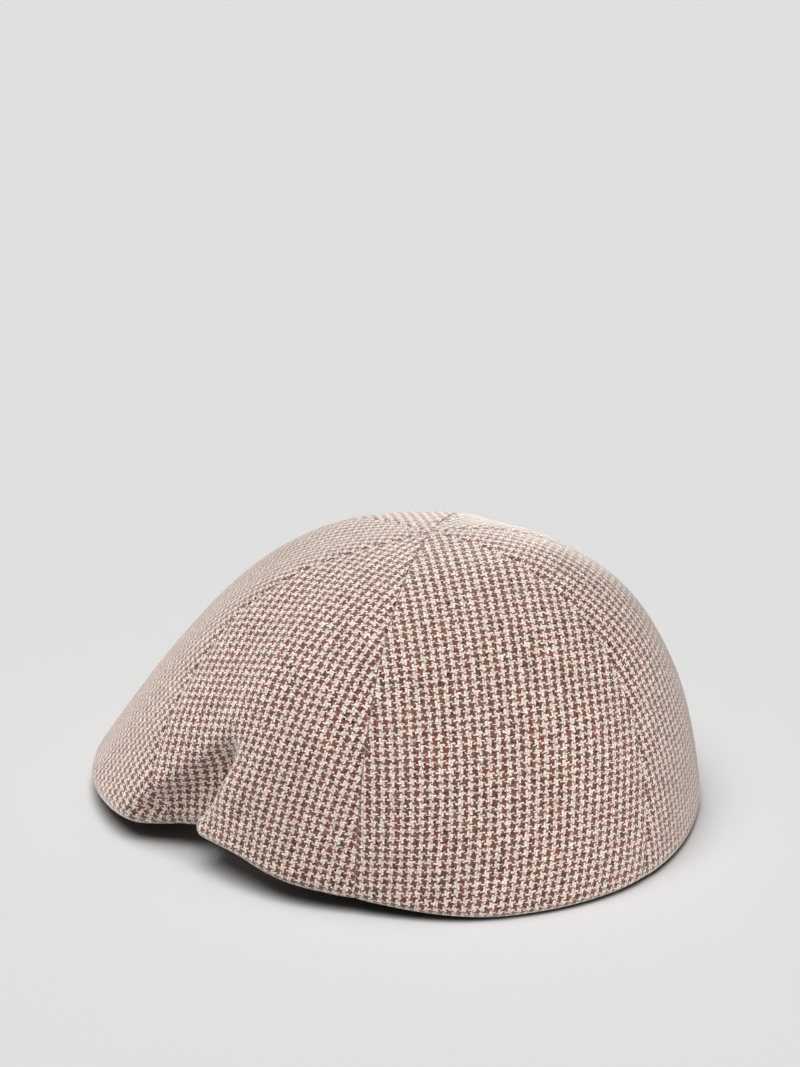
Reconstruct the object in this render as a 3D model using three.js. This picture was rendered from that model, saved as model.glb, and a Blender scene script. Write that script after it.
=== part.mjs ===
// A rounded flat cap, sewn from six crown panels over a stiff peak.
// Millimetres, +Z up. The cap rests on z = 0 with its peak towards -Y and the wearer's left at +X.
// The origin is under the middle of its length.

import * as THREE from 'three';

// ---- Driving dimensions -------------------------------------------------------------------

const CROWN_HEIGHT = 122;     // top point, where the six panels meet
const CLOTH = 2;              // faced tweed with its lining, as one wall
const SEAM_GAP = 0.3;         // clearance between neighbouring panels
const TIP_RADIUS = 1.5;       // how near the top point a panel's tip reaches

// Meridian sections of the crown, from the centre front (0) round to the centre back (180).
// The left and right halves are mirror images.
//   angle     where the section stands, degrees
//   reach     plan distance from the top point to the outermost line of the hem
//   lift      height of the hem's lowest line above the surface
//   edge      radius of the turned hem
//   lean      how far the wall's face looks up where it meets the hem, degrees
//   wall      length of the curve handle that carries the wall up from the hem
//   shoulder  length of the curve handle that carries the top outwards
//   rise      how far that handle climbs above the top point
//   turn      width of the cloth turned in under the hem
const SECTIONS = [
  { angle: 0, reach: 149, lift: 0, edge: 6, lean: 35, wall: 80, shoulder: 80, rise: -5, turn: 8 },
  { angle: 18, reach: 143, lift: 3, edge: 6, lean: 32, wall: 80, shoulder: 80, rise: -5, turn: 8 },
  { angle: 34, reach: 134, lift: 7.5, edge: 6, lean: 26, wall: 80, shoulder: 74, rise: -5, turn: 8 },
  { angle: 48, reach: 121, lift: 12, edge: 5, lean: 21, wall: 77, shoulder: 67, rise: -5, turn: 8 },
  { angle: 60, reach: 115, lift: 10, edge: 4, lean: 14, wall: 74, shoulder: 64, rise: -4, turn: 14 },
  { angle: 75, reach: 112, lift: 8, edge: 4, lean: 8, wall: 72, shoulder: 64, rise: -3, turn: 19 },
  { angle: 90, reach: 109, lift: 5, edge: 4, lean: 7, wall: 70, shoulder: 64, rise: 0, turn: 20 },
  { angle: 120, reach: 113, lift: 0, edge: 4, lean: 7, wall: 66, shoulder: 62, rise: 4, turn: 18 },
  { angle: 150, reach: 116, lift: 0, edge: 4, lean: 6, wall: 70, shoulder: 71, rise: 8, turn: 15 },
  { angle: 180, reach: 115, lift: 0, edge: 4, lean: 5, wall: 77, shoulder: 83, rise: 10, turn: 14 },
];

// The seams of the left half. Each starts at the top point and ends at its hem angle;
// bow is how far it swings round on the way, degrees.
const SEAMS = {
  front: { hem: 40, bow: -9 },
  side: { hem: 90, bow: 0 },
  back: { hem: 155, bow: 6 },
};

// The hollow pinched into each front side panel, behind the end of the peak. Angles are in
// degrees and levels are stations, 0 at the top point and 1 at the hem.
//   brow       the level where the cloth starts to run in, at the angle browAt; it climbs by
//              browClimb a degree
//   slope      how fast the cloth runs in below the brow, per level
//   depth      the most it runs in
//   last       the angles over which the brow fades out
//   fold       where the fold that borders the hollow meets the hem; lean is how it leans back
//              as it climbs, more and then less, and behind how wide it is
//   roll       the fold's share that spreads over spread at the hem
//   crease     depth of the shallow crease that goes on above, with its lean and its width
//   full       fullness of the cloth over the hollow, at fullAt, fading over fullSize
//   rise       how far the pinch draws the hem up, at riseAt, fading over riseWidth
const PINCH = {
  brow: 0.893, browAt: 44.2, browClimb: 0.0112,
  slope: 130, soft: 0.012, depth: 15, last: [51, 60],
  fold: 46.8, lean: [80, -165], behind: 3.5,
  roll: 0.35, spread: 13,
  crease: 1.2, creaseLean: [45, 60], creaseWidth: 6,
  full: 3.5, fullAt: [60, 0.68], fullSize: [13, 0.2],
  rise: 4.2, riseAt: 57.5, riseWidth: 9.5,
};

// The peak's board. length is from front edge to head opening on the centre line.
const PEAK = { length: 51, endWidth: 8, halfAngle: 47, thickness: 4, climb: 20, clearance: 0.7 };

// Mesh density.
const WALL_STATIONS = [
  0.04, 0.09, 0.15, 0.22, 0.3, 0.38, 0.46, 0.54, 0.62, 0.7, 0.78, 0.83, 0.87, 0.91, 0.94, 0.97, 1,
];
const HEM_STEPS = 4;
const COLUMN_ANGLE = 6;       // widest column of a plain panel, degrees
const PINCH_COLUMN_ANGLE = 2.5; // widest column of a pinched panel, degrees
const PEAK_COLUMNS = 18;
const PEAK_EDGE_STEPS = 5;

const CLOTH_COLOUR = 0xb8a197;
const CLOTH_ROUGHNESS = 0.95;

// ---- Sections -------------------------------------------------------------------------------

const radians = THREE.MathUtils.degToRad;

/** A section value at any angle: a smooth curve through the rows, mirrored at front and back. */
function sectionValue(column, angle) {
  const folded = Math.abs(((((angle + 180) % 360) + 360) % 360) - 180);
  const last = SECTIONS.length - 1;
  let row = 0;
  while (row < last - 1 && SECTIONS[row + 1].angle <= folded) row += 1;
  const slope = (i) => {
    if (i === 0 || i === last) return 0;
    const before = SECTIONS[i - 1];
    const after = SECTIONS[i + 1];
    return (after[column] - before[column]) / (after.angle - before.angle);
  };
  const a = SECTIONS[row];
  const b = SECTIONS[row + 1];
  const span = b.angle - a.angle;
  const s = (folded - a.angle) / span;
  const s2 = s * s;
  const s3 = s2 * s;
  return a[column] * (2 * s3 - 3 * s2 + 1)
    + slope(row) * span * (s3 - 2 * s2 + s)
    + b[column] * (3 * s2 - 2 * s3)
    + slope(row + 1) * span * (s3 - s2);
}

/** The section's hem circle: its centre and radius in the section's own plane. */
function hemCircle(angle) {
  const radius = sectionValue('edge', angle);
  const lift = Math.max(0, sectionValue('lift', angle)) + hemRise(angle);
  return { x: sectionValue('reach', angle) - radius, z: lift + radius, radius };
}

/** An angle folded onto the left half, 0 at the front and 180 at the back. */
function foldedAngle(angle) {
  return Math.abs(angle > 180 ? angle - 360 : angle);
}

/** A bump of height 1 at 0 that fades out over the given width. */
function bump(distance, width) {
  return Math.exp(-((distance / width) ** 2));
}

/** How far the pinch draws the hem up at this angle. */
function hemRise(angle) {
  return PINCH.rise * bump(foldedAngle(angle) - PINCH.riseAt, PINCH.riseWidth);
}

/** How far the pinch pushes the wall in at this angle and station. */
function pinchDepth(angle, station) {
  const { smoothstep } = THREE.MathUtils;
  const folded = foldedAngle(angle);
  const level = Math.min(station, 1);
  const up = Math.min(1 - level, 0.2);
  const away = Math.max(0, folded - (PINCH.fold + PINCH.lean[0] * up + PINCH.lean[1] * up ** 2));
  const under = level - (PINCH.brow - PINCH.browClimb * (folded - PINCH.browAt));
  const run = (PINCH.slope * (under + Math.hypot(under, PINCH.soft))) / 2;
  const deep = PINCH.depth * Math.tanh(run / PINCH.depth);
  const atHem = smoothstep(level, 0.9, 1);
  const roll = PINCH.roll * atHem;
  const side = away > 0 ? bump(away, PINCH.behind) * (1 - roll) + bump(away, PINCH.spread) * roll : 1;
  const fade = 1 - (1 - atHem) * smoothstep(folded, ...PINCH.last);
  const climbed = 1 - level;
  const fromFold = folded - (PINCH.fold + PINCH.creaseLean[0] * climbed + PINCH.creaseLean[1] * climbed ** 2);
  const creased = smoothstep(level, 0.55, 0.75) * (1 - smoothstep(level, 0.82, 0.92));
  const fullness = bump(folded - PINCH.fullAt[0], PINCH.fullSize[0]) * bump(level - PINCH.fullAt[1], PINCH.fullSize[1]);
  return (
    deep * side * fade * (1 - smoothstep(folded, 66, 80)) +
    PINCH.crease * creased * bump(fromFold, PINCH.creaseWidth) -
    PINCH.full * fullness * (1 - smoothstep(level, 0.88, 1))
  );
}

/** The wall curve's four control points, from the top point to the hem circle. */
function wallCurve(angle) {
  const hem = hemCircle(angle);
  const lean = radians(sectionValue('lean', angle));
  const wall = sectionValue('wall', angle);
  const foot = new THREE.Vector2(hem.x + hem.radius * Math.cos(lean), hem.z + hem.radius * Math.sin(lean));
  const handle = new THREE.Vector2(foot.x - wall * Math.sin(lean), foot.y + wall * Math.cos(lean));
  const shoulder = new THREE.Vector2(
    sectionValue('shoulder', angle),
    CROWN_HEIGHT + sectionValue('rise', angle),
  );
  return new THREE.CubicBezierCurve(new THREE.Vector2(0, CROWN_HEIGHT), shoulder, handle, foot);
}

/**
 * The outside of the cloth at an angle, with its outward normal in the section's plane.
 * Stations 0 to 1 run down the wall, 1 to 2 round the hem, and 2 to 3 inwards under it.
 */
function clothPoint(angle, station) {
  if (station <= 1) {
    const curve = wallCurve(angle);
    const point = curve.getPoint(station);
    const tangent = curve.getTangent(station);
    return { point, normal: new THREE.Vector2(-tangent.y, tangent.x) };
  }
  const hem = hemCircle(angle);
  if (station <= 2) {
    const lean = radians(sectionValue('lean', angle));
    const around = lean - (station - 1) * (lean + Math.PI / 2);
    const normal = new THREE.Vector2(Math.cos(around), Math.sin(around));
    const point = new THREE.Vector2(hem.x, hem.z).addScaledVector(normal, hem.radius);
    return { point, normal };
  }
  const inwards = sectionValue('turn', angle) * (station - 2);
  return {
    point: new THREE.Vector2(hem.x - inwards, hem.z - hem.radius),
    normal: new THREE.Vector2(0, -1),
  };
}

const TOP_POINT_Y = (SECTIONS[0].reach - SECTIONS[SECTIONS.length - 1].reach) / 2;

/** Turns a section point into a point of the cap. */
function place(angle, outwards, height) {
  const turn = radians(angle);
  return [outwards * Math.sin(turn), TOP_POINT_Y - outwards * Math.cos(turn), height];
}

// ---- Solids ---------------------------------------------------------------------------------

/**
 * A closed body through rings of the same number of points. Each ring is a closed outline whose
 * point k lies across from its point (last - k), so a strip between the two closes each end.
 */
function loft(rings) {
  const count = rings[0].length;
  const index = [];
  const quad = (a, b, c, d) => index.push(a, b, c, a, c, d);
  for (let r = 0; r < rings.length - 1; r += 1) {
    for (let k = 0; k < count; k += 1) {
      const next = (k + 1) % count;
      quad(r * count + k, r * count + next, (r + 1) * count + next, (r + 1) * count + k);
    }
  }
  const lastRing = (rings.length - 1) * count;
  for (let k = 0; k < count / 2 - 1; k += 1) {
    const across = count - 1 - k;
    quad(k, across, across - 1, k + 1);
    quad(lastRing + k, lastRing + k + 1, lastRing + across - 1, lastRing + across);
  }
  const geometry = new THREE.BufferGeometry();
  geometry.setAttribute('position', new THREE.Float32BufferAttribute(rings.flat(2), 3));
  geometry.setIndex(index);
  geometry.computeVertexNormals();
  return geometry;
}

/** The stations of a panel, from its tip to the inner edge of the cloth turned in. */
function panelStations() {
  const hemStations = [];
  for (let i = 1; i <= HEM_STEPS; i += 1) hemStations.push(1 + i / HEM_STEPS);
  return [...WALL_STATIONS, ...hemStations, 3];
}

/** The station where a section's wall is TIP_RADIUS from the top point. */
function tipStation(angle) {
  return TIP_RADIUS / (3 * sectionValue('shoulder', angle));
}

/** Where a seam stands at a station, on the left half or, mirrored, on the right. */
function seamAngle(seam, station, side) {
  const level = Math.min(station, 1);
  return side * (seam.hem + seam.bow * 4 * level * (1 - level));
}

/**
 * One crown panel between two seams, going round from the front by the left.
 * from and to are functions of the station that give an angle.
 */
function panelGeometry(from, to, columnAngle) {
  const stations = panelStations();
  const columns = Math.ceil((to(1) - from(1)) / columnAngle);
  const rings = [];
  for (let column = 0; column <= columns; column += 1) {
    const across = column / columns;
    const outer = [];
    const inner = [];
    for (const [row, station] of [0, ...stations].entries()) {
      const level = row === 0 ? tipStation(from(0) * (1 - across) + to(0) * across) : station;
      const angle = from(level) * (1 - across) + to(level) * across;
      const { point, normal } = clothPoint(angle, level);
      const pushed = pinchDepth(angle, level);
      for (const [side, depth] of [[outer, 0], [inner, CLOTH]]) {
        const outwards = point.x - normal.x * depth - pushed;
        const height = point.y - normal.y * depth;
        const trim = THREE.MathUtils.radToDeg(Math.asin(SEAM_GAP / 2 / outwards));
        side.push(place(angle + trim * (1 - 2 * across), outwards, height));
      }
    }
    rings.push([...outer, ...inner.reverse()]);
  }
  return loft(rings);
}

/** The peak's board: a crescent with a round front edge, lying on the turned hem inside the cloth. */
function peakGeometry() {
  const rings = [];
  const half = PEAK.thickness / 2;
  for (let column = 0; column <= PEAK_COLUMNS; column += 1) {
    const share = (2 * column) / PEAK_COLUMNS - 1;
    const angle = PEAK.halfAngle * share;
    const hem = hemCircle(angle);
    const width = PEAK.endWidth + (PEAK.length - PEAK.endWidth) * (1 - share * share);
    const outwards = hem.x - pinchDepth(angle, 1) - PEAK.clearance;
    const front = new THREE.Vector2(outwards, hem.z - hem.radius + CLOTH + PEAK.clearance + half);
    const back = new THREE.Vector2(outwards - width, front.y + PEAK.climb * (width / PEAK.length));
    const slope = Math.atan2(back.y - front.y, front.x - back.x);
    const edge = [];
    for (let i = 0; i <= PEAK_EDGE_STEPS; i += 1) {
      const around = Math.PI / 2 - slope - (Math.PI * i) / PEAK_EDGE_STEPS;
      edge.push([front.x + half * Math.cos(around), front.y + half * Math.sin(around)]);
    }
    const upper = [back.x + half * Math.sin(slope), back.y + half * Math.cos(slope)];
    const lower = [back.x - half * Math.sin(slope), back.y - half * Math.cos(slope)];
    rings.push([upper, ...edge, lower].map(([x, z]) => place(angle, x, z)));
  }
  return loft(rings);
}

// ---- The cap --------------------------------------------------------------------------------

function piece(name, geometry) {
  const material = new THREE.MeshStandardMaterial({
    color: CLOTH_COLOUR,
    roughness: CLOTH_ROUGHNESS,
    metalness: 0,
  });
  const mesh = new THREE.Mesh(geometry, material);
  mesh.name = name;
  return mesh;
}

const left = (seam) => (station) => seamAngle(seam, station, 1);
const right = (seam) => (station) => seamAngle(seam, station, -1);
const pastBack = (seam) => (station) => 360 - seamAngle(seam, station, 1);

const PANELS = {
  panel_front: [right(SEAMS.front), left(SEAMS.front), COLUMN_ANGLE],
  panel_front_left: [left(SEAMS.front), left(SEAMS.side), PINCH_COLUMN_ANGLE],
  panel_back_left: [left(SEAMS.side), left(SEAMS.back), COLUMN_ANGLE],
  panel_back: [left(SEAMS.back), pastBack(SEAMS.back), COLUMN_ANGLE],
  panel_back_right: [right(SEAMS.back), right(SEAMS.side), COLUMN_ANGLE],
  panel_front_right: [right(SEAMS.side), right(SEAMS.front), PINCH_COLUMN_ANGLE],
};

const cap = new THREE.Group();
for (const [name, [from, to, columnAngle]] of Object.entries(PANELS)) {
  cap.add(piece(name, panelGeometry(from, to, columnAngle)));
}
cap.add(piece('peak', peakGeometry()));

export default cap;
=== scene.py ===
"""A rounded six-panel flat cap in a small star check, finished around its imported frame.

All sizes are in metres unless a name says otherwise. The cap rests on z = 0 with its peak
towards -Y and the wearer's left at +X, as its frame does.
"""

import logging
import math
from dataclasses import dataclass, replace
from enum import Enum
from typing import Callable, ClassVar

import bpy
import numpy as np
from mathutils import Matrix, Vector


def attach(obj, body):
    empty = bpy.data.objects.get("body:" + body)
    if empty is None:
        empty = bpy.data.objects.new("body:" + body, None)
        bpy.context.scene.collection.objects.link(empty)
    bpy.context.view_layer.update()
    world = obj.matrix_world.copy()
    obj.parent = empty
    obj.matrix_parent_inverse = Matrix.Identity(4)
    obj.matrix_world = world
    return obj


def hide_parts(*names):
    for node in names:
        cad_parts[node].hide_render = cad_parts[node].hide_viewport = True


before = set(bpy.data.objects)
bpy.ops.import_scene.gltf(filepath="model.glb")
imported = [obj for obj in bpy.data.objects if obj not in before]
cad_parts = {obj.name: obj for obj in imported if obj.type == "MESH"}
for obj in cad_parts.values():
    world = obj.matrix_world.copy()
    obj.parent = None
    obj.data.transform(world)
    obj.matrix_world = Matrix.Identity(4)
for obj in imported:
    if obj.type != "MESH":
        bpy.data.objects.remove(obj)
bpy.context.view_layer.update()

MM = 0.001
WEAVE_UV = "weave"

log = logging.getLogger("flat_cap")
Array = np.ndarray
Colour = tuple[float, float, float, float]
Finish = bpy.types.Material
Mesh = bpy.types.Mesh
Piece = bpy.types.Object
Socket = bpy.types.NodeSocket


class Cloth(Enum):
    """The record's material slots, one for each kind of cloth on the cap."""

    CROWN = "cloth"
    PEAK = "peak_cloth"


# ---- Small helpers ----


def select_only(piece: Piece) -> None:
    """Makes one object the only selected and the active one.

    Args:
        piece: the object that the next operators work on.
    """
    bpy.ops.object.select_all(action="DESELECT")
    piece.select_set(True)
    bpy.context.view_layer.objects.active = piece


def coordinates(mesh: Mesh) -> Array:
    """The places of a mesh's vertices.

    Args:
        mesh: the mesh that is read.

    Returns:
        One row of x, y, z for each vertex.
    """
    flat = np.empty(len(mesh.vertices) * 3)
    mesh.vertices.foreach_get("co", flat)
    return flat.reshape(-1, 3)


def place_vertices(mesh: Mesh, points: Array) -> None:
    """Puts a mesh's vertices where they belong.

    Args:
        mesh: the mesh that is shaped.
        points: one row of x, y, z for each vertex.
    """
    mesh.vertices.foreach_set("co", points.astype(np.float32).ravel())
    mesh.update()


def through(values: Array, at: Array) -> Array:
    """A smooth curve through evenly spaced rows of values.

    Args:
        values: the rows, along the first axis.
        at: places between the rows, 0 at the first row and 1 at the last.

    Returns:
        One row for each place.
    """
    last = len(values) - 1
    place = np.clip(at, 0, 1) * last
    low = np.minimum(place.astype(int), last - 1)
    share = (place - low).reshape((-1,) + (1,) * (values.ndim - 1))
    padded = np.concatenate([2 * values[:1] - values[1:2], values, 2 * values[-1:] - values[-2:-1]])
    before, here, after, beyond = (padded[low + k] for k in range(4))
    bend = 2 * before - 5 * here + 4 * after - beyond
    twist = 3 * (here - after) + beyond - before
    return here + 0.5 * share * (after - before + share * (bend + share * twist))


def ease(value: Array, low: float, high: float) -> Array:
    """A smooth ramp, 0 below low and 1 above high."""
    share = np.clip((value - low) / (high - low), 0, 1)
    return share**2 * (3 - 2 * share)


def bump(away: Array, width: float) -> Array:
    """A smooth bump, 1 in its middle and about a third of that at its width."""
    return np.exp(-((away / width) ** 2))


def from_front(angle: Array) -> Array:
    """Degrees from the centre front, 0 to 180, the same on both halves."""
    return np.abs((angle + 180) % 360 - 180)


def lengths_along(points: Array, axis: int) -> Array:
    """The lengths of a grid's cells along one of its two axes."""
    return np.linalg.norm(np.diff(points, axis=axis), axis=2)


def running_total(steps: Array, axis: int) -> Array:
    """The distance of each grid point from the grid's first edge.

    Args:
        steps: the lengths of the cells along the axis.
        axis: the axis that they are added up along.

    Returns:
        The distances, with one more row along the axis than steps has.
    """
    first = np.zeros_like(np.take(steps, [0], axis=axis))
    return np.concatenate([first, np.cumsum(steps, axis=axis)], axis=axis)


def line_length(grid: Array) -> float:
    """The length of all of a grid's lines together."""
    return sum(float(lengths_along(grid, axis).sum()) for axis in (0, 1))


# ---- Sheets ----


def new_grid(columns: int, rows: int) -> tuple[Piece, Array]:
    """Adds a grid primitive that is to become a sheet.

    Args:
        columns: its cells along x.
        rows: its cells along y.

    Returns:
        The grid and, for each of its vertices, column * (rows + 1) + row, with row 0 at the far end.
    """
    bpy.ops.object.select_all(action="DESELECT")
    bpy.ops.mesh.primitive_grid_add(x_subdivisions=columns, y_subdivisions=rows, size=1)
    piece = bpy.context.active_object
    places = coordinates(piece.data)
    low, high = places.min(0), places.max(0)
    column = np.rint((places[:, 0] - low[0]) / (high[0] - low[0]) * columns).astype(int)
    row = np.rint((high[1] - places[:, 1]) / (high[1] - low[1]) * rows).astype(int)
    return piece, column * (rows + 1) + row


def thicken(piece: Piece, thickness: float, offset: float) -> None:
    """Gives a sheet its thickness.

    Args:
        piece: the sheet.
        thickness: how thick it becomes, in metres.
        offset: -1 to grow inwards, 0 to grow both ways.
    """
    select_only(piece)
    thick = piece.modifiers.new("thickness", "SOLIDIFY")
    thick.thickness = thickness
    thick.offset = offset
    bpy.ops.object.modifier_apply(modifier=thick.name)


def add_weave_map(mesh: Mesh, flat: Array) -> None:
    """Writes the flat pattern as a piece's weave map.

    Args:
        mesh: the piece's mesh.
        flat: each vertex's place on the flat cloth, in metres.
    """
    while mesh.uv_layers:
        mesh.uv_layers.remove(mesh.uv_layers[0])
    layer = mesh.uv_layers.new(name=WEAVE_UV)
    corners = np.empty(len(mesh.loops), int)
    mesh.loops.foreach_get("vertex_index", corners)
    layer.data.foreach_set("uv", flat[corners].astype(np.float32).ravel())


def dress(piece: Piece, finish: Finish, smooth_below: float) -> None:
    """Gives a piece its cloth and smooth shading.

    Args:
        piece: the piece.
        finish: the cloth's material.
        smooth_below: the sharpest turn that is shaded smooth, in degrees.
    """
    piece.data.materials.clear()
    piece.data.materials.append(finish)
    select_only(piece)
    bpy.ops.object.shade_smooth_by_angle(angle=math.radians(smooth_below))


# ---- The shape of the crown ----


@dataclass(frozen=True)
class Seam:
    """A seam of the left half, from the top point to the hem.

    hem is the angle it ends at, and bow how far it swings round on the way, in degrees.
    """

    hem: float
    bow: float

    def angle(self, level: Array) -> Array:
        """Where the seam is at a level, 0 at the top point and 1 at the hem."""
        return self.hem + self.bow * 4 * level * (1 - level)


@dataclass(frozen=True)
class Pinch:
    """The hollow pinched into each front side panel, behind the end of the peak.

    Sizes are in millimetres and angles in degrees. Levels go from 0 at the top point to 1 at the
    hem. A pair of them, or of angles, is where something starts and ends.

    Under a brow, which is at the level brow at the angle brow_at and climbs by brow_climb a
    degree, the cloth runs in at the rate slope, to depth at most. soft rounds the brow. Above the
    hem, over the levels near_hem, the hollow fades out between the angles in last. A fold borders
    it at the back: it starts at the angle fold on the hem, leans back as it climbs to the height
    fold_top, more and then less, by the two numbers in lean, and is behind wide. At the hem the
    fold's share roll spreads over spread. All of it is gone past the angles in gone.

    crease is a shallow crease that goes on above the hollow, and full the fullness of the cloth
    over it, at the angle and level full_at. The pinch draws the hem up by rise.
    """

    brow: float = 0.904
    brow_at: float = 44.2
    brow_climb: float = 0.0104
    slope: float = 250
    soft: float = 0.012
    depth: float = 14.5
    near_hem: tuple[float, float] = (0.9, 1)
    last: tuple[float, float] = (51, 60)
    gone: tuple[float, float] = (66, 80)
    fold: float = 46.8
    fold_top: float = 0.2
    lean: tuple[float, float] = (80, -165)
    behind: float = 2.4
    roll: float = 0.3
    spread: float = 11
    crease: float = 1.2
    crease_lean: tuple[float, float] = (45, 60)
    crease_width: float = 6
    crease_starts: tuple[float, float] = (0.55, 0.75)
    crease_ends: tuple[float, float] = (0.82, 0.92)
    full: float = 3.5
    full_at: tuple[float, float] = (60, 0.68)
    full_size: tuple[float, float] = (13, 0.2)
    full_ends: tuple[float, float] = (0.88, 1)
    rise: float = 3.2
    rise_at: float = 60
    rise_width: float = 9

    def push(self, angle: Array, station: Array) -> Array:
        """How far the wall is pushed in.

        Args:
            angle: angles round the cap, in degrees.
            station: stations down the section.

        Returns:
            Millimetres towards the middle, for each point.
        """
        folded = from_front(angle)
        level = np.minimum(station, 1)
        hollow = self._hollow(folded, level) * (1 - ease(folded, *self.gone))
        return hollow + self._crease(folded, level) - self._fullness(folded, level)

    def hem_rise(self, angle: Array) -> Array:
        """How far the pinch draws the hem up at each angle, in millimetres."""
        return self.rise * bump(from_front(angle) - self.rise_at, self.rise_width)

    def _hollow(self, folded: Array, level: Array) -> Array:
        """The hollow itself, under its brow and in front of its fold.

        Args:
            folded: degrees from the centre front.
            level: levels down the wall.

        Returns:
            Millimetres towards the middle.
        """
        up = np.minimum(1 - level, self.fold_top)
        away = np.maximum(0, folded - (self.fold + self.lean[0] * up + self.lean[1] * up**2))
        under = level - (self.brow - self.brow_climb * (folded - self.brow_at))
        run = self.slope * (under + np.sqrt(under**2 + self.soft**2)) / 2
        run = self.depth * np.tanh(run / self.depth)
        at_hem = ease(level, *self.near_hem)
        roll = self.roll * at_hem
        side = bump(away, self.behind) * (1 - roll) + bump(away, self.spread) * roll
        side = np.where(away > 0, side, 1)
        return run * side * (1 - (1 - at_hem) * ease(folded, *self.last))

    def _crease(self, folded: Array, level: Array) -> Array:
        """The shallow crease over the hollow.

        Args:
            folded: degrees from the centre front.
            level: levels down the wall.

        Returns:
            Millimetres towards the middle.
        """
        up = 1 - level
        away = folded - (self.fold + self.crease_lean[0] * up + self.crease_lean[1] * up**2)
        strength = ease(level, *self.crease_starts) * (1 - ease(level, *self.crease_ends))
        return self.crease * strength * bump(away, self.crease_width)

    def _fullness(self, folded: Array, level: Array) -> Array:
        """The fullness of the cloth over the hollow.

        Args:
            folded: degrees from the centre front.
            level: levels down the wall.

        Returns:
            Millimetres outwards.
        """
        around = ((folded - self.full_at[0]) / self.full_size[0]) ** 2
        down = ((level - self.full_at[1]) / self.full_size[1]) ** 2
        return self.full * np.exp(-around - down) * (1 - ease(level, *self.full_ends))


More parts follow.
